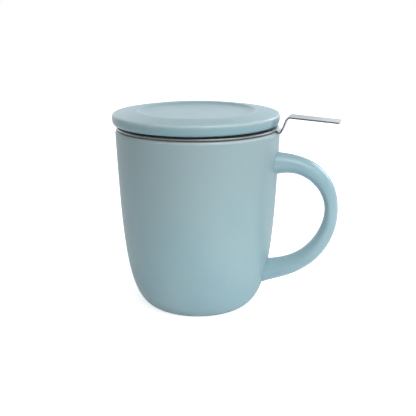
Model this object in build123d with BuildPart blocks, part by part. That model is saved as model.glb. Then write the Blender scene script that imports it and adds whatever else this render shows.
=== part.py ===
from build123d import *
import os
from math import cos, pi, radians, sin, tan

# Stoneware tea mug with a lift-off lid and a steel infuser that hangs in its mouth.
# Millimetres, +Z up. The origin is the centre of the foot ring, on the plane that the mug
# stands on. The ceramic handle and the infuser's strip handle both point along +X.

# ---- Mug body: a soft barrel on a narrow foot ---------------------------------------------
mug_height = 97.9            # foot to the crest of the rim
rim_radius = 44.0            # outside, where the side runs into the rounded rim
rim_wall = 4.0               # wall at the rim, which is rounded over its full width
rim_lean = 2.2               # degrees that the side still leans outward at the rim
side_pull = 57.7             # reach of the nearly straight side down from the rim
foot_radius = 26.6           # where the side leaves the foot
foot_flare = 23.3            # degrees above level at which the side leaves the foot
heel_pull = 14.2             # reach of that flare into the round heel
foot_ring_width = 3.4        # unglazed ring that touches the table
foot_recess = 1.6            # height of the underside inside the ring
foot_bevel = 0.8             # slope of the ring's inner edge
floor_height = 5.6           # top of the mug's floor
floor_inset = 6.6            # flat floor's edge, inside the foot's edge
bowl_pull = 15.0             # reach of the flat floor into the rounded inside corner

# ---- Ceramic handle: a D, slim at its back and stouter where both bends end ----------------
handle_drop = 17.4           # rim down to where the centre line leaves the body, level
handle_straight = 4.85       # level run outside the body's rim radius
handle_sink = 5.0            # level run inside it, trimmed to the body's side
handle_top_bend = 23.7       # centre line's radius over the upper quarter turn
handle_low_bend = 35.3       # its wider radius below the back
handle_low_turn = 70.0       # degrees of the lower turn, which ends in a straight tail
back_thickness = 7.1         # at the back, seen from the side
back_width = 12.4            # across the back
root_thickness = 10.3        # where the bends end
root_width = 13.6
root_flare = 3.4             # gained all round at the upper root's buried end
tail_flare = 2.0             # gained on the loop's side at the lower root

# ---- Infuser rim: flange, neck, shoulder and collar drawn from one sheet -------------------
seat_gap = 0.1               # between a loose piece and the piece that it rests on
sheet = 0.4                  # steel sheet of the rim, the sleeve and the base
curl = 1.2                   # rolled edge of the flange, over all
curl_reach = 0.9             # the rolled edge's centre, outside the crest of the mug's rim
neck_clearance = 0.8         # round the neck, inside the mug's mouth
neck_depth = 8.0             # flange's top to the shoulder's top
neck_bend = 0.9              # bend radius at the middle of the sheet
shoulder = 6.0               # inward step from the neck to the collar
collar_height = 7.0          # shoulder's top down to the collar's end

# ---- Infuser basket: pierced sleeve with a pressed base ------------------------------------
room_below = 27.0            # mug's floor to the basket's underside
sleeve_start = 1.6           # sleeve's top edge, below the shoulder's top
base_band = 6.0              # height of the base's upturned wall
slot_width = 1.3             # upright slots of the sleeve
slot_length = 6.4
slot_pitch = 6.3             # spacing of the slots round the sleeve
slot_row_pitch = 9.4         # spacing of their rows, each staggered by half the slot pitch
plain_margin = 1.6           # unpierced sheet beside the collar and the base's wall
seam_band = 6.0              # unpierced band at the welded seam, opposite the handle
hole_across = 3.0            # piercings of the base, corner to corner
hole_ring_pitch = 8.2        # spacing of their rings
base_margin = 3.0            # unpierced ring inside the base's wall
base_round = 0.3             # rounding of the base's lower edge

# ---- Infuser handle: a bent strip welded under the flange ----------------------------------
strip_width = 12.0
strip_thickness = 0.7
strip_crank_out = 1.1        # first bend's corner, outside the crest of the mug's rim
strip_crank_run = 2.2        # outward run of the crank over the mug's rim
strip_crank_drop = 1.75      # fall of that crank
strip_rise = 8.8             # height of the riser
strip_rise_run = 3.4         # outward run of the riser
strip_reach = 27.2           # outward run of the finger tab
strip_droop = 2.1            # fall of the tab over that run
crank_bend = 0.8             # bend radii at the middle of the strip
riser_foot_bend = 1.0
riser_head_bend = 2.4
strip_corner = 1.3           # rounding of the tab's corners, seen from above
notch_clearance = 0.3        # beside the strip, where it passes through the rolled edge

# ---- Lid: a disc with a round recess above and a locating ring below ------------------------
lid_overhang = 0.7           # past the mug's rim radius
lid_land = 1.4               # flat seat, outside the infuser's neck
lid_eave = 0.95              # land up to the level underside outside the seat
lid_eave_reach = 2.3         # the eave's end, inside the lid's radius
lid_eave_pull = 1.5          # reach of the level eave into the side's lower rounding
lid_side_foot = 4.3          # land to the lower end of the upright side
lid_side_pull = 2.3          # reach of the upright side into that rounding
lid_side_head = 5.7          # land to the upper end of the side
lid_edge_top = 6.8           # land to the top of the rounded edge
lid_edge_round = 1.3         # reach of that rounding inwards
lid_edge_rise = 6.0          # slope of the top beside the edge, in degrees
lid_crest = 8.4              # land to the soft crest round the recess
lid_crest_radius = 32.0
lid_crest_pull = 2.0         # reach of the level crest outwards
recess_wall_radius = 30.4    # where the recess's wall is steepest
recess_radius = 25.0         # flat floor, which a wide cove joins to the wall
recess_depth = 1.4           # crest to the recess floor
lid_plate = 4.5              # recess floor to the underside
spigot_clearance = 1.1       # all round the locating ring, inside the infuser's neck
spigot_touch = 0.2           # what is left of it on the side that the lid is pushed to
spigot_depth = 6.4           # locating ring below the land
spigot_wall = 3.6
spigot_round = 1.2           # rounding of the ring's lower edges

# ---- Places that follow from those sizes -----------------------------------------------------
lean = radians(rim_lean)
flare = radians(foot_flare)
rim_base = mug_height - rim_wall / 2 * (tan(lean) + 1 / cos(lean))
bore_radius = rim_radius - rim_wall
floor_radius = foot_radius - floor_inset
handle_top = mug_height - handle_drop
ring_radius = foot_radius - foot_ring_width
side_low = (rim_radius - side_pull * sin(lean), rim_base - side_pull * cos(lean))
heel = (foot_radius + heel_pull * cos(flare), heel_pull * sin(flare))

flange_top = mug_height + seat_gap + curl
curl_radius = rim_radius - rim_wall / 2 + curl_reach
neck_radius = bore_radius - neck_clearance
shoulder_top = flange_top - neck_depth
collar_end = shoulder_top - collar_height
basket_radius = neck_radius - shoulder - sheet
basket_bottom = floor_height + room_below
sleeve_bottom = basket_bottom + sheet
sleeve_top = shoulder_top - sleeve_start

land = flange_top + seat_gap
lid_radius = rim_radius + lid_overhang
land_radius = neck_radius + lid_land
eave = land + lid_eave
edge_rise = radians(lid_edge_rise)
spigot_radius = neck_radius - sheet - spigot_clearance
lid_shift = spigot_touch - spigot_clearance
recess_floor = land + lid_crest - recess_depth
lid_underside = recess_floor - lid_plate

os.makedirs("parts", exist_ok=True)


# ---- mug_body: one revolved section, thick at the heel and thin at the rim --------------------
def draw_mug_side():
    """The outer side, from the foot's edge up to where the rim's rounding starts."""
    return Bezier((foot_radius, 0), heel, side_low, (rim_radius, rim_base))


with BuildPart() as mug_body:
    with BuildSketch(Plane.XZ):
        with BuildLine():
            side = draw_mug_side()
            rim = TangentArc(side @ 1, (bore_radius, rim_base), tangent=side % 1)
            bore_low = (side_low[0] - rim_wall, side_low[1])
            bowl_corner = (floor_radius + bowl_pull, floor_height)
            Bezier(rim @ 1, bore_low, bowl_corner, (floor_radius, floor_height))
            Polyline(
                (floor_radius, floor_height),
                (0, floor_height),
                (0, foot_recess),
                (ring_radius - foot_bevel, foot_recess),
                (ring_radius, 0),
                (foot_radius, 0),
            )
        make_face()
    revolve(axis=Axis.Z)
mug_body.part.label = "mug_body"
export_step(mug_body.part, "parts/mug_body.step")

# The body's outer form without its hollow, which trims the handle's roots.
with BuildPart() as mug_form:
    with BuildSketch(Plane.XZ):
        with BuildLine():
            side = draw_mug_side()
            Polyline(side @ 1, (0, rim_base), (0, 0), side @ 0)
        make_face()
    revolve(axis=Axis.Z)

# ---- mug_handle: oval sections along the centre line, stouter at the roots, trimmed to the body ----
handle_start = (rim_radius - handle_sink, handle_top)
back_point = (rim_radius + handle_straight + handle_top_bend, handle_top - handle_top_bend)
with BuildLine(Plane.XZ):
    level = Line(handle_start, (rim_radius + handle_straight, handle_top))
    top_turn = JernArc(level @ 1, level % 1, handle_top_bend, -90)
    low_turn = JernArc(back_point, (0, -1), handle_low_bend, -handle_low_turn)
    inward = ((low_turn @ 1).X - foot_radius) / sin(radians(handle_low_turn))
    tail = PolarLine(low_turn @ 1, inward, direction=low_turn % 1)

# Each station is a line, the share of it to go along, the share of the way from the back to the
# bend's end, over which the section grows, the flare all round, and the flare on the loop's side.
stations = [(level, 0, 1, root_flare, 0)]
stations += [(top_turn, 1 - grown, grown, 0, 0) for grown in (1, 2 / 3, 1 / 3)]
stations += [(low_turn, grown, grown, 0, 0) for grown in (0, 1 / 3, 2 / 3, 1)]
stations += [(tail, along, 1, 0, tail_flare) for along in (1 / 2, 1)]
with BuildPart() as mug_handle:
    for line, along, grown, flare_round, flare_inside in stations:
        with BuildSketch(Plane(origin=line @ along, x_dir=(0, 1, 0), z_dir=line % along)):
            across = back_width + (root_width - back_width) * grown + flare_round
            thick = back_thickness + (root_thickness - back_thickness) * grown + flare_round
            with Locations((0, -flare_inside / 2)):
                Ellipse(across / 2, (thick + flare_inside) / 2)
    loft()
    add(mug_form.part, mode=Mode.SUBTRACT)
mug_handle.part.label = "mug_handle"
export_step(mug_handle.part, "parts/mug_handle.step")

# ---- infuser_rim: the drawn sheet, its rolled edge, and a notch there for the strip ----------------
sheet_middle = sheet / 2
with BuildPart() as infuser_rim:
    with BuildSketch(Plane.XZ):
        with BuildLine():
            FilletPolyline(
                (curl_radius, flange_top - sheet_middle),
                (neck_radius - sheet_middle, flange_top - sheet_middle),
                (neck_radius - sheet_middle, shoulder_top - sheet_middle),
                (basket_radius + sheet_middle, shoulder_top - sheet_middle),
                (basket_radius + sheet_middle, collar_end),
                radius=neck_bend,
            )
        trace(line_width=sheet)
        with Locations((curl_radius, flange_top - curl / 2)):
            Circle(curl / 2)
    revolve(axis=Axis.Z)
    with BuildSketch(Plane.XY.offset(flange_top - sheet)):
        with Locations((curl_radius, 0)):
            Rectangle(2 * curl, strip_width + 2 * notch_clearance)
    extrude(amount=-curl, mode=Mode.SUBTRACT)
infuser_rim.part.label = "infuser_rim"
export_step(infuser_rim.part, "parts/infuser_rim.step")

# ---- infuser_sleeve: staggered rows of upright slots, with none on the welded seam ----------------
slotted_bottom = basket_bottom + base_band + plain_margin
slotted_top = collar_end - plain_margin
slot_rows = int((slotted_top - slotted_bottom - slot_length) / slot_row_pitch) + 1
slot_middle = (slotted_bottom + slotted_top) / 2
slot_angle = 360 * slot_pitch / (2 * pi * basket_radius)
slot_columns = int((2 * pi * basket_radius - seam_band - slot_width) / slot_pitch)
cut_depth = 4 * sheet        # well past both sides of the sheet
with BuildPart() as infuser_sleeve:
    with BuildSketch(Plane.XY.offset(sleeve_bottom)):
        Circle(basket_radius)
        Circle(basket_radius - sheet, mode=Mode.SUBTRACT)
    extrude(amount=sleeve_top - sleeve_bottom)
    for row in range(slot_rows):
        row_height = slot_middle + slot_row_pitch * (row - (slot_rows - 1) / 2)
        stagger = (row % 2 - 0.5) / 2
        tangent_planes = []
        for column in range(slot_columns):
            angle = radians(slot_angle * (column + stagger - (slot_columns - 1) / 2))
            outward = Vector(cos(angle), sin(angle), 0)
            middle = outward * (basket_radius + cut_depth / 2) + Vector(0, 0, row_height)
            tangent_planes.append(Plane(middle, x_dir=(-outward.Y, outward.X, 0), z_dir=outward))
        with BuildSketch(*tangent_planes):
            Rectangle(slot_width, slot_length)
        extrude(amount=-cut_depth, mode=Mode.SUBTRACT)
infuser_sleeve.part.label = "infuser_sleeve"
export_step(infuser_sleeve.part, "parts/infuser_sleeve.step")

# ---- infuser_base: a shallow cup pressed over the sleeve's end, pierced in rings -------------------
hole_rings = int((basket_radius - base_margin - hole_across / 2) / hole_ring_pitch)
with BuildPart() as infuser_base:
    with BuildSketch(Plane.XY.offset(basket_bottom)):
        Circle(basket_radius + sheet)
    extrude(amount=base_band)
    fillet(infuser_base.edges().group_by(Axis.Z)[0], base_round)
    with BuildSketch(Plane.XY.offset(sleeve_bottom)):
        Circle(basket_radius)
    extrude(amount=base_band, mode=Mode.SUBTRACT)
    with BuildSketch(Plane.XY.offset(basket_bottom)):
        RegularPolygon(hole_across / 2, 6)
        for ring in range(1, hole_rings + 1):
            with PolarLocations(ring * hole_ring_pitch, 6 * ring):
                RegularPolygon(hole_across / 2, 6)
    extrude(amount=sheet, mode=Mode.SUBTRACT)
infuser_base.part.label = "infuser_base"
export_step(infuser_base.part, "parts/infuser_base.step")

# ---- infuser_handle: cranked over the rim, up past the lid's edge, and out as a finger tab ----------
strip_level = flange_top - sheet - strip_thickness / 2
strip_start = (neck_radius - sheet / 2 + neck_bend + notch_clearance, strip_level)
crank_top = (rim_radius - rim_wall / 2 + strip_crank_out, strip_level)
riser_foot = (crank_top[0] + strip_crank_run, crank_top[1] - strip_crank_drop)
riser_head = (riser_foot[0] + strip_rise_run, riser_foot[1] + strip_rise)
tab_end = (riser_head[0] + strip_reach, riser_head[1] - strip_droop)
with BuildPart() as infuser_handle:
    with BuildSketch(Plane.XZ):
        with BuildLine():
            corners = (strip_start, crank_top, riser_foot, riser_head, tab_end)
            FilletPolyline(*corners, radius=(crank_bend, riser_foot_bend, riser_head_bend))
        trace(line_width=strip_thickness)
    extrude(amount=strip_width / 2, both=True)
    tab_end_face = infuser_handle.faces().sort_by(Axis.X)[-1]
    fillet(tab_end_face.edges().filter_by(Axis.Y, reverse=True), strip_corner)
infuser_handle.part.label = "infuser_handle"
export_step(infuser_handle.part, "parts/infuser_handle.step")

# ---- lid: one revolved section about its own axis, pushed over in the infuser's neck ----------------
with BuildPart() as lid:
    with BuildSketch(Plane((lid_shift, 0, 0), x_dir=(1, 0, 0), z_dir=(0, -1, 0))):
        with BuildLine():
            eave_end = (lid_radius - lid_eave_reach, eave)
            eave_pull = (eave_end[0] + lid_eave_pull, eave)
            side_foot = (lid_radius, land + lid_side_foot)
            side_head = (lid_radius, land + lid_side_head)
            edge_end = (lid_radius - lid_edge_round, land + lid_edge_top)
            crest = (lid_crest_radius, land + lid_crest)
            floor_edge = (recess_radius, recess_floor)
            wall_top = (recess_wall_radius, land + lid_crest)
            wall_foot = (recess_wall_radius, recess_floor)
            side_pull_end = (lid_radius, side_foot[1] - lid_side_pull)
            edge_corner = (lid_radius, edge_end[1] - lid_edge_round * tan(edge_rise))
            crest_pull = (lid_crest_radius + lid_crest_pull, land + lid_crest)
            Bezier(eave_end, eave_pull, side_pull_end, side_foot)
            Line(side_foot, side_head)
            Bezier(side_head, edge_corner, edge_end)
            Bezier(edge_end, crest_pull, crest)
            Bezier(crest, wall_top, wall_foot, floor_edge)
            Polyline(
                floor_edge,
                (0, recess_floor),
                (0, lid_underside),
                (spigot_radius - spigot_wall, lid_underside),
                (spigot_radius - spigot_wall, land - spigot_depth),
                (spigot_radius, land - spigot_depth),
                (spigot_radius, land),
                (land_radius, land),
                (land_radius, eave),
                eave_end,
            )
        make_face()
    revolve(axis=Axis((lid_shift, 0, 0), (0, 0, 1)))
    fillet(lid.edges().group_by(Axis.Z)[0], spigot_round)
lid.part.label = "lid"
export_step(lid.part, "parts/lid.step")
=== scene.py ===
from math import cos, radians, sin

import bpy
from mathutils import Matrix, Vector


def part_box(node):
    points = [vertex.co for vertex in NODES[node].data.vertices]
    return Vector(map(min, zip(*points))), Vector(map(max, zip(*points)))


# Lidded tea mug with an infuser: satin blue-grey glaze and brushed steel in a white studio.
# Every shown piece is a CAD piece. The script adds materials, a camera, a floor and the light.
# Metres, +Z up; both handles point along +X.

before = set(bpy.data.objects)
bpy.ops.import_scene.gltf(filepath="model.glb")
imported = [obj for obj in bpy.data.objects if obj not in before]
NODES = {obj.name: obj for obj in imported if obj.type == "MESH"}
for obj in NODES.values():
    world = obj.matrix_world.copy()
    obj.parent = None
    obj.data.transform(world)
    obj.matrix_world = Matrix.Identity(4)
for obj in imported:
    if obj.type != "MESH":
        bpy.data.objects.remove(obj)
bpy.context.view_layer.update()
MM = 0.001

# ---- Camera: fitted to the rim, lid and foot ellipses of the photograph ----------------------
AZIMUTH = radians(13.5)          # the handles point this much towards the camera
DISTANCE = 434.75 * MM           # from the mug's axis, on the level
HEIGHT = 171.17 * MM             # above the floor
PITCH = 0.26536                  # radians, looking down
YAW = 0.0124753                  # radians, turned to the camera's right of the mug's axis
ROLL = -0.0024984                # radians
LENS_PIXELS = 818.1              # focal length
IMAGE_PIXELS = 416               # width of the photograph
SENSOR = 36                      # millimetres
NEAREST, FARTHEST = 0.01, 20     # what the camera shows


def make_camera():
    forward = Vector((sin(YAW) * cos(PITCH), cos(YAW) * cos(PITCH), -sin(PITCH)))
    level = Vector((cos(YAW), -sin(YAW), 0))
    upright = level.cross(forward)
    right = cos(ROLL) * level + sin(ROLL) * upright
    up = cos(ROLL) * upright - sin(ROLL) * level
    turn = Matrix.Rotation(AZIMUTH, 3, "Z")
    axes = Matrix((turn @ right, turn @ up, turn @ -forward)).transposed()
    data = bpy.data.cameras.new("camera")
    data.sensor_width = SENSOR
    data.lens = SENSOR * LENS_PIXELS / IMAGE_PIXELS
    data.clip_start = NEAREST
    data.clip_end = FARTHEST
    camera = bpy.data.objects.new("camera", data)
    bpy.context.collection.objects.link(camera)
    place = Matrix.Translation(turn @ Vector((0, -DISTANCE, HEIGHT)))
    camera.matrix_world = place @ axes.to_4x4()
    bpy.context.scene.camera = camera


make_camera()


# ---- Helpers for node trees: each adds nodes and returns their result's socket ----------------
def feed(tree, socket, value):
    """Sets a number or colour on the socket, or links another socket to it."""
    if isinstance(value, bpy.types.NodeSocket):
        tree.links.new(value, socket)
    else:
        socket.default_value = value


def calculate(tree, operation, *values):
    node = tree.nodes.new("ShaderNodeMath")
    node.operation = operation
    for socket, value in zip(node.inputs, values):
        feed(tree, socket, value)
    return node.outputs[0]


def plus(tree, first, second):
    return calculate(tree, "ADD", first, second)


def times(tree, first, second):
    return calculate(tree, "MULTIPLY", first, second)


def rest_of(tree, share):
    return calculate(tree, "SUBTRACT", 1.0, share)


def gap_between(tree, first, second):
    return calculate(tree, "ABSOLUTE", calculate(tree, "SUBTRACT", first, second))


def step_up(tree, value, low, high):
    """0 below low and 1 above high, with a smooth step between."""
    node = tree.nodes.new("ShaderNodeMapRange")
    node.interpolation_type = "SMOOTHSTEP"
    feed(tree, node.inputs["Value"], value)
    node.inputs["From Min"].default_value = low
    node.inputs["From Max"].default_value = high
    return node.outputs[0]


def step_down(tree, value, low, high):
    return rest_of(tree, step_up(tree, value, low, high))


def mix_colour(tree, share, first, second):
    """The second colour takes this share."""
    node = tree.nodes.new("ShaderNodeMix")
    node.data_type = "RGBA"
    feed(tree, node.inputs[0], share)
    feed(tree, node.inputs[6], first)
    feed(tree, node.inputs[7], second)
    return node.outputs[2]


def noise(tree, point, scale, detail=2.0, roughness=0.5):
    """scale is in waves per metre."""
    node = tree.nodes.new("ShaderNodeTexNoise")
    feed(tree, node.inputs["Vector"], point)
    node.inputs["Scale"].default_value = scale
    node.inputs["Detail"].default_value = detail
    node.inputs["Roughness"].default_value = roughness
    return node.outputs[0]


def bump(tree, height, strength, distance, normal=None):
    node = tree.nodes.new("ShaderNodeBump")
    feed(tree, node.inputs["Height"], height)
    node.inputs["Strength"].default_value = strength
    node.inputs["Distance"].default_value = distance
    if normal is not None:
        feed(tree, node.inputs["Normal"], normal)
    return node.outputs[0]


def place_in_piece(tree):
    """The point in the piece's own frame, as a vector and as its x, y and z."""
    coordinate = tree.nodes.new("ShaderNodeTexCoord")
    split = tree.nodes.new("ShaderNodeSeparateXYZ")
    tree.links.new(coordinate.outputs["Object"], split.inputs[0])
    return coordinate.outputs["Object"], *split.outputs


def from_parts(tree, x, y, z):
    node = tree.nodes.new("ShaderNodeCombineXYZ")
    for socket, value in zip(node.inputs, (x, y, z)):
        feed(tree, socket, value)
    return node.outputs[0]


def distance_from_axis(tree, x, y):
    return calculate(tree, "SQRT", plus(tree, times(tree, x, x), times(tree, y, y)))


def new_material(name):
    material = bpy.data.materials.new(name)
    material.use_nodes = True
    nodes = material.node_tree.nodes
    nodes.clear()
    output = nodes.new("ShaderNodeOutputMaterial")
    shader = nodes.new("ShaderNodeBsdfPrincipled")
    material.node_tree.links.new(shader.outputs[0], output.inputs[0])
    return material, shader


# ---- Glaze: a satin powder blue, pale where it runs thin over the edges, with painted highlights there and painted shade on the lid ---
GLAZE = (0.330, 0.464, 0.498, 1)
GLAZE_DEEP = (0.300, 0.442, 0.484, 1)        # where it has clouded over
GLAZE_LEAN = (0.313, 0.412, 0.438, 1)        # greyer, towards the mug's rim
GLAZE_SIDE_SHADE = (0.215, 0.355, 0.405, 1)      # painted shade down the lid's side
# Paler where the glaze runs thin over edges, with a painted highlight along them.
GLAZE_THIN_AND_HIGHLIGHT = (0.520, 0.600, 0.600, 1)
GLAZE_SPECK = (0.20, 0.28, 0.30, 1)
SEAT_SHADE = (0.030, 0.042, 0.046, 1)        # painted shade on the lid's underside round its seat
CLAY = (0.60, 0.52, 0.42, 1)
CLAY_PALE = (0.74, 0.67, 0.56, 1)

CLOUD_SCALE, CLOUD_LOW, CLOUD_HIGH = 38, 0.35, 0.65
WAVER_SCALE, WAVER = 260, 0.8 * MM           # the bands' edges rise and fall within this
SIDE_SHADE_FADE, SIDE_SHADE_SHARE = 2.2 * MM, 0.70
LEAN_LOSS = 0.2                              # what the clouds take from the lean glaze
BAND_SHARE, BAND_CORE = 0.55, 0.25           # the core is the part of the half width in full
RING_SHARE = 0.32
SEAT_FADE_LOW, SEAT_FADE_HIGH = 0.1 * MM, 0.2 * MM
SPECK_SCALE, SPECK_LOW, SPECK_HIGH, SPECK_SHARE = 900, 0.74, 0.80, 0.12
PEEL_SCALE, THROWING_SCALE = 520, 900        # orange peel, and level rings left by throwing
GLAZE_BUMP, GLAZE_BUMP_HEIGHT = 0.10, 0.2 * MM
GLAZE_ROUGH, GLAZE_ROUGH_MORE, WEAR_SCALE = 0.27, 0.08, 90
MUG_ROUGH, CLAY_ROUGH = 0.44, 0.92           # the mug's glaze is more matt than the lid's
CLAY_SCALE, CLAY_FADE = 1400, 0.2 * MM
GLAZE_IOR, COAT, COAT_ROUGH = 1.5, 0.30, 0.22


def glaze_material(name, tint=(1, 1, 1), thin_and_highlight_band=None, thin_and_highlight_ring=None, side_shade_below=None,
                   lean_from=None, seat_shade_band=None, bare_below=None):
    """Heights and radii are in metres, in the piece's own frame.

    thin_and_highlight_band: (middle, half width) of the level band where the glaze runs thin and
    pale over an edge, with a painted highlight along it. thin_and_highlight_ring: the same for a
    ring round the axis. side_shade_below: painted shade, the glaze is darker below this height.
    lean_from: it goes greyer from here up to the mug's rim. seat_shade_band: (low, high) of the
    band of painted shade round the lid's seat. bare_below: unglazed clay below this height.
    """
    material, shader = new_material(name)
    tree = material.node_tree
    point, x, y, z = place_in_piece(tree)

    clouds = noise(tree, point, CLOUD_SCALE, detail=3, roughness=0.55)
    cloud = step_up(tree, clouds, CLOUD_LOW, CLOUD_HIGH)
    light, deep = (tuple(a * b for a, b in zip(shade, tint)) + (1,)
                   for shade in (GLAZE, GLAZE_DEEP))
    colour = mix_colour(tree, cloud, light, deep)
    if lean_from is not None:
        lean = times(tree, step_up(tree, z, lean_from, RIM_TOP),
                     rest_of(tree, times(tree, cloud, LEAN_LOSS)))
        colour = mix_colour(tree, lean, colour, GLAZE_LEAN)

    waver = times(tree, calculate(tree, "SUBTRACT", noise(tree, point, WAVER_SCALE), 0.5), WAVER)
    level = plus(tree, z, waver)
    # Painted shade: the lid's side is darker below this height.
    if side_shade_below is not None:
        side_shaded = step_down(tree, level, side_shade_below - SIDE_SHADE_FADE, side_shade_below)
        colour = mix_colour(tree, times(tree, side_shaded, SIDE_SHADE_SHARE), colour, GLAZE_SIDE_SHADE)
    # Paler thin glaze along an edge, with a painted highlight.
    if thin_and_highlight_band is not None:
        middle, half_width = thin_and_highlight_band
        away = gap_between(tree, level, middle)
        band = step_down(tree, away, half_width * BAND_CORE, half_width)
        colour = mix_colour(tree, times(tree, band, BAND_SHARE), colour, GLAZE_THIN_AND_HIGHLIGHT)
    # The same round the axis: thin glaze with a painted highlight round the lid's recess.
    if thin_and_highlight_ring is not None:
        middle, half_width = thin_and_highlight_ring
        away = gap_between(tree, distance_from_axis(tree, x, y), middle)
        ring = step_down(tree, away, 0.0, half_width)
        colour = mix_colour(tree, times(tree, ring, RING_SHARE), colour, GLAZE_THIN_AND_HIGHLIGHT)
    # Painted shade round the lid's seat.
    if seat_shade_band is not None:
        low, high = seat_shade_band
        above = step_up(tree, z, low - SEAT_FADE_LOW, low)
        below = step_down(tree, level, high - SEAT_FADE_HIGH, high + SEAT_FADE_HIGH)
        colour = mix_colour(tree, times(tree, above, below), colour, SEAT_SHADE)

    speck = step_up(tree, noise(tree, point, SPECK_SCALE, detail=1), SPECK_LOW, SPECK_HIGH)
    colour = mix_colour(tree, times(tree, speck, SPECK_SHARE), colour, GLAZE_SPECK)

    wear = noise(tree, point, WEAR_SCALE, detail=3)
    rough = plus(tree, GLAZE_ROUGH, times(tree, wear, GLAZE_ROUGH_MORE))
    if bare_below is not None:
        glazed = step_up(tree, level, bare_below - CLAY_FADE, bare_below + CLAY_FADE)
        grit = noise(tree, point, CLAY_SCALE, detail=4, roughness=0.7)
        clay = mix_colour(tree, grit, CLAY, CLAY_PALE)
        colour = mix_colour(tree, glazed, clay, colour)
        smoother = times(tree, glazed, CLAY_ROUGH - MUG_ROUGH)
        rough = calculate(tree, "SUBTRACT", CLAY_ROUGH, smoother)

    peel = bump(tree, noise(tree, point, PEEL_SCALE), GLAZE_BUMP, GLAZE_BUMP_HEIGHT)
    rings = noise(tree, from_parts(tree, 0, 0, z), THROWING_SCALE)
    feed(tree, shader.inputs["Base Color"], colour)
    feed(tree, shader.inputs["Roughness"], rough)
    feed(tree, shader.inputs["Normal"], bump(tree, rings, GLAZE_BUMP, GLAZE_BUMP_HEIGHT, peel))
    shader.inputs["IOR"].default_value = GLAZE_IOR
    shader.inputs["Coat Weight"].default_value = COAT
    shader.inputs["Coat Roughness"].default_value = COAT_ROUGH
    return material


# ---- Steel: brushed round the turned pieces and along the strip --------------------------------
STEEL_TURNED = (0.60, 0.60, 0.60, 1)
STEEL_STRIP = (0.73, 0.70, 0.68, 1)
STRIP_EDGE_PAINTED_REFLECTION = (0.13, 0.125, 0.125, 1)      # painted dark reflection along the strip's edges
# Painted shade under the rolled rim, where it sits on the mug's rim.
ROLL_SHADE = (0.085, 0.065, 0.052, 1)

GRAIN_SCALE, SMUDGE_SCALE = 4200, 160
TURNED_STRETCH = 0.02                        # the grain's waves along it, next to those across
STRIP_STRETCH, STRIP_STRETCH_UP = 0.03, 0.4
GRAIN_DARK = 0.86
EDGE_REFLECTION_FADE_START, EDGE_REFLECTION_FADE_END = 0.22 * MM, 0.08 * MM    # in from the strip's edges
ROLL_SHADE_SHARE, ROLL_SHADE_CORE = 0.92, 0.6
STEEL_ROUGH_LESS, GRAIN_ROUGH, SMUDGE_ROUGH = 0.08, 0.10, 0.08
STEEL_BUMP, STEEL_BUMP_HEIGHT = 0.12, 0.05 * MM


def steel_material(name, colour, roughness, turned, roll_shade_band=None, half_width=None):
    """roll_shade_band: (middle, half width) of a level band of painted shade, under the rolled rim
    where it sits on the mug. half_width: the strip's, for the painted dark reflection along its
    edges."""
    material, shader = new_material(name)
    tree = material.node_tree
    point, x, y, z = place_in_piece(tree)
    if turned:
        radius = distance_from_axis(tree, x, y)
        grain_point = from_parts(tree, radius, times(tree, x, TURNED_STRETCH), z)
    else:
        grain_point = from_parts(tree, times(tree, x, STRIP_STRETCH), y,
                                 times(tree, z, STRIP_STRETCH_UP))
    grain = noise(tree, grain_point, GRAIN_SCALE, detail=3, roughness=0.6)
    smudge = noise(tree, point, SMUDGE_SCALE)

    dark = tuple(GRAIN_DARK * c for c in colour[:3]) + (1,)
    shade = mix_colour(tree, grain, dark, colour)
    # Painted dark reflection along the strip's edges.
    if half_width is not None:
        dark_edge = step_up(tree, calculate(tree, "ABSOLUTE", y),
                      half_width - EDGE_REFLECTION_FADE_START, half_width - EDGE_REFLECTION_FADE_END)
        shade = mix_colour(tree, dark_edge, shade, STRIP_EDGE_PAINTED_REFLECTION)
    # Painted shade in a level band under the rolled rim.
    if roll_shade_band is not None:
        middle, reach = roll_shade_band
        shaded_roll = step_down(tree, gap_between(tree, z, middle), reach * ROLL_SHADE_CORE, reach)
        shade = mix_colour(tree, times(tree, shaded_roll, ROLL_SHADE_SHARE), shade, ROLL_SHADE)

    wear = plus(tree, times(tree, grain, GRAIN_ROUGH), times(tree, smudge, SMUDGE_ROUGH))
    feed(tree, shader.inputs["Base Color"], shade)
    feed(tree, shader.inputs["Roughness"], plus(tree, roughness - STEEL_ROUGH_LESS, wear))
    feed(tree, shader.inputs["Normal"], bump(tree, grain, STEEL_BUMP, STEEL_BUMP_HEIGHT))
    shader.inputs["Metallic"].default_value = 1.0
    return material


# ---- The pieces' materials ---------------------------------------------------------------------
RIM_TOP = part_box("mug_body")[1][2]
LID_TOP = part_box("lid")[1][2]
STRIP_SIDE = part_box("infuser_handle")[1][1]


def dress(material, *nodes):
    for node in nodes:
        piece = NODES[node]
        piece.data.materials.clear()
        piece.data.materials.append(material)


# Paler thin glaze with a painted highlight along the mug's rim.
dress(glaze_material("glaze_mug", thin_and_highlight_band=(RIM_TOP, 2.2 * MM), lean_from=20 * MM,
                     bare_below=0.6 * MM),
      "mug_body")
# The handle's bluer tint is painted light: the bluish light its faces catch.
dress(glaze_material("glaze_handle_painted_light", tint=(0.98, 1.01, 1.035)),
      "mug_handle")
# On the lid: paler thin glaze with a painted highlight at its top edge and round the recess, and
# painted shade down its side and round its seat.
dress(glaze_material("glaze_lid", thin_and_highlight_band=(LID_TOP - 2.2 * MM, 0.9 * MM),
                     thin_and_highlight_ring=(31.8 * MM, 1.1 * MM), side_shade_below=LID_TOP - 2.4 * MM,
                     seat_shade_band=(LID_TOP - 8.45 * MM, LID_TOP - 7.9 * MM)),
      "lid")
# The turned pieces carry a band of painted shade under the rolled rim.
dress(steel_material("steel_turned", STEEL_TURNED, roughness=0.30, turned=True,
                     roll_shade_band=(RIM_TOP + 0.2 * MM, 0.6 * MM)),
      "infuser_rim", "infuser_sleeve", "infuser_base")
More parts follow.
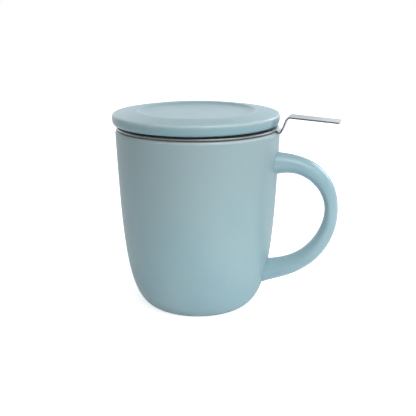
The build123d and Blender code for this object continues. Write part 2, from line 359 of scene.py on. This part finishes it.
# half_width gives the strip the painted dark reflection along its edges.
dress(steel_material("steel_strip", STEEL_STRIP, roughness=0.36, turned=False,
                     half_width=STRIP_SIDE),
      "infuser_handle")

# ---- Floor: white to the camera and dimmer to gloss, with the object's shadow -------------------
FLOOR_REACH = 3.0
FLOOR_COLOUR = (0.80, 0.86, 0.90, 1)
FLOOR_SEEN, FLOOR_MIRRORED = 0.75, 0.25      # glow, on top of the light that falls on it


def mirrored_ray(tree, path):
    return calculate(tree, "MAXIMUM", path.outputs["Is Glossy Ray"],
                     path.outputs["Is Transmission Ray"])


def make_floor():
    mesh = bpy.data.meshes.new("floor")
    corners = [(x * FLOOR_REACH, y * FLOOR_REACH, 0)
               for x, y in ((-1, -1), (1, -1), (1, 1), (-1, 1))]
    mesh.from_pydata(corners, [], [(0, 1, 2, 3)])
    floor = bpy.data.objects.new("floor", mesh)
    bpy.context.collection.objects.link(floor)
    material = bpy.data.materials.new("floor_white")
    material.use_nodes = True
    tree = material.node_tree
    tree.nodes.clear()
    output = tree.nodes.new("ShaderNodeOutputMaterial")
    matt = tree.nodes.new("ShaderNodeBsdfDiffuse")
    matt.inputs["Color"].default_value = FLOOR_COLOUR
    glow = tree.nodes.new("ShaderNodeEmission")
    path = tree.nodes.new("ShaderNodeLightPath")
    seen = times(tree, path.outputs["Is Camera Ray"], FLOOR_SEEN)
    mirrored = times(tree, mirrored_ray(tree, path), FLOOR_MIRRORED)
    feed(tree, glow.inputs["Strength"], calculate(tree, "MAXIMUM", seen, mirrored))
    both = tree.nodes.new("ShaderNodeAddShader")
    tree.links.new(matt.outputs[0], both.inputs[0])
    tree.links.new(glow.outputs[0], both.inputs[1])
    tree.links.new(both.outputs[0], output.inputs[0])
    mesh.materials.append(material)


# ---- World: white to the camera, bright at the front right; to gloss it is white behind --------
ROOM_COLOUR = (0.99, 0.985, 0.965, 1)
ROOM_STRENGTH, WINDOW_STRENGTH, WINDOW_AZIMUTH = 0.05, 1.60, 38
MIRRORED_WHITE, MIRRORED_BLUE = (1, 1, 1, 1), (0.70, 0.86, 1.0, 1)
MIRRORED_BLUE_AZIMUTH = 120
MIRRORED_ROOM = 0.15
MIRRORED_BACK, MIRRORED_BACK_AZIMUTH = 1.4, 180
MIRRORED_SIDE, MIRRORED_SIDE_AZIMUTH = 0.60, 125


def studio_direction(azimuth, elevation=0):
    """azimuth is seen from above, from the camera's own side round to its right."""
    turn = AZIMUTH + radians(azimuth)
    across = cos(radians(elevation))
    return Vector((sin(turn) * across, -cos(turn) * across, sin(radians(elevation))))


def towards(tree, azimuth, elevation=0):
    """1 for a ray that looks in this direction, down to 0 at right angles to it."""
    coordinate = tree.nodes.new("ShaderNodeTexCoord")
    node = tree.nodes.new("ShaderNodeVectorMath")
    node.operation = "DOT_PRODUCT"
    tree.links.new(coordinate.outputs["Generated"], node.inputs[0])
    node.inputs[1].default_value = studio_direction(azimuth, elevation)
    return calculate(tree, "MAXIMUM", node.outputs["Value"], 0.0)


def squared(tree, value):
    return times(tree, value, value)


def make_world():
    world = bpy.data.worlds.new("world")
    bpy.context.scene.world = world
    world.use_nodes = True
    tree = world.node_tree
    tree.nodes.clear()
    output = tree.nodes.new("ShaderNodeOutputWorld")
    path = tree.nodes.new("ShaderNodeLightPath")

    def background(colour, strength):
        node = tree.nodes.new("ShaderNodeBackground")
        feed(tree, node.inputs["Color"], colour)
        feed(tree, node.inputs["Strength"], strength)
        return node.outputs[0]

    def choose(share, first, second):
        node = tree.nodes.new("ShaderNodeMixShader")
        for socket, value in zip(node.inputs, (share, first, second)):
            tree.links.new(value, socket)
        return node.outputs[0]

    window = times(tree, towards(tree, WINDOW_AZIMUTH), WINDOW_STRENGTH)
    ambient = background(ROOM_COLOUR, plus(tree, window, ROOM_STRENGTH))

    low_down = squared(tree, rest_of(tree, towards(tree, 0, elevation=90)))
    behind = times(tree, squared(tree, towards(tree, MIRRORED_BACK_AZIMUTH)), low_down)
    beside = squared(tree, towards(tree, MIRRORED_SIDE_AZIMUTH))
    strength = plus(tree, plus(tree, times(tree, behind, MIRRORED_BACK),
                               times(tree, beside, MIRRORED_SIDE)), MIRRORED_ROOM)
    colour = mix_colour(tree, towards(tree, MIRRORED_BLUE_AZIMUTH), MIRRORED_WHITE, MIRRORED_BLUE)
    mirrored = background(colour, calculate(tree, "MINIMUM", strength, 1.0))

    light = choose(mirrored_ray(tree, path), ambient, mirrored)
    white = background((1, 1, 1, 1), 1.0)
    tree.links.new(choose(path.outputs["Is Camera Ray"], light, white), output.inputs[0])


# ---- Lamps ---------------------------------------------------------------------------------------
LAMP_DISTANCE = 0.9
LAMP_TARGET = Vector((10 * MM, 0, 55 * MM))
SOFT_BOX = (0.6, 0.6)
LAMPS = [  # name, azimuth and elevation in degrees, size in metres, watts, colour
    ("front", 20, 60, SOFT_BOX, 0.65, (0.92, 0.97, 1.0)),
    ("right", 80, 57, SOFT_BOX, 0.46, (0.95, 1.0, 1.0)),
    ("back_right", 132, 24, (0.30, 0.46), 1.7, (0.76, 0.90, 1.0)),
    ("left", -60, 60, SOFT_BOX, 0.48, (1.0, 0.88, 0.76)),
    ("left_low", -110, 25, SOFT_BOX, 0.12, (1.0, 0.94, 0.86)),
    ("top", 0, 88, SOFT_BOX, 1.62, (0.84, 0.96, 1.0)),
    ("back_left", -150, 14, SOFT_BOX, 0.30, (0.96, 0.97, 1.0)),
    ("glint", 162, 10, (0.13, 0.12), 0.07, (1.0, 0.97, 0.94)),
    ("window", 62, 42, (0.12, 0.16), 0.35, (0.96, 0.98, 1.0)),
]
# Near, over the floor in front: what the floor throws back lights the heel and the handle.
TABLE_DISTANCE, TABLE_SPREAD = 0.38, radians(80)
TABLE_LAMP = ("table", 30, 50, (0.25, 0.25), 0.20, (0.9, 0.98, 1.0))


def area_light(name, azimuth, elevation, size, watts, colour,
               distance=LAMP_DISTANCE, spread_down=None):
    """Aimed at the mug, or straight down within this angle."""
    light = bpy.data.lights.new(name, "AREA")
    light.shape = "RECTANGLE"
    light.size, light.size_y = size
    light.energy = watts
    light.color = colour
    lamp = bpy.data.objects.new(name, light)
    bpy.context.collection.objects.link(lamp)
    lamp.visible_camera = False
    direction = studio_direction(azimuth, elevation)
    lamp.location = LAMP_TARGET + direction * distance
    if spread_down is None:
        lamp.rotation_euler = direction.to_track_quat("Z", "Y").to_euler()
    else:
        light.spread = spread_down


make_floor()
make_world()
for row in LAMPS:
    area_light(*row)
area_light(*TABLE_LAMP, distance=TABLE_DISTANCE, spread_down=TABLE_SPREAD)

bpy.context.scene.view_settings.view_transform = "Standard"
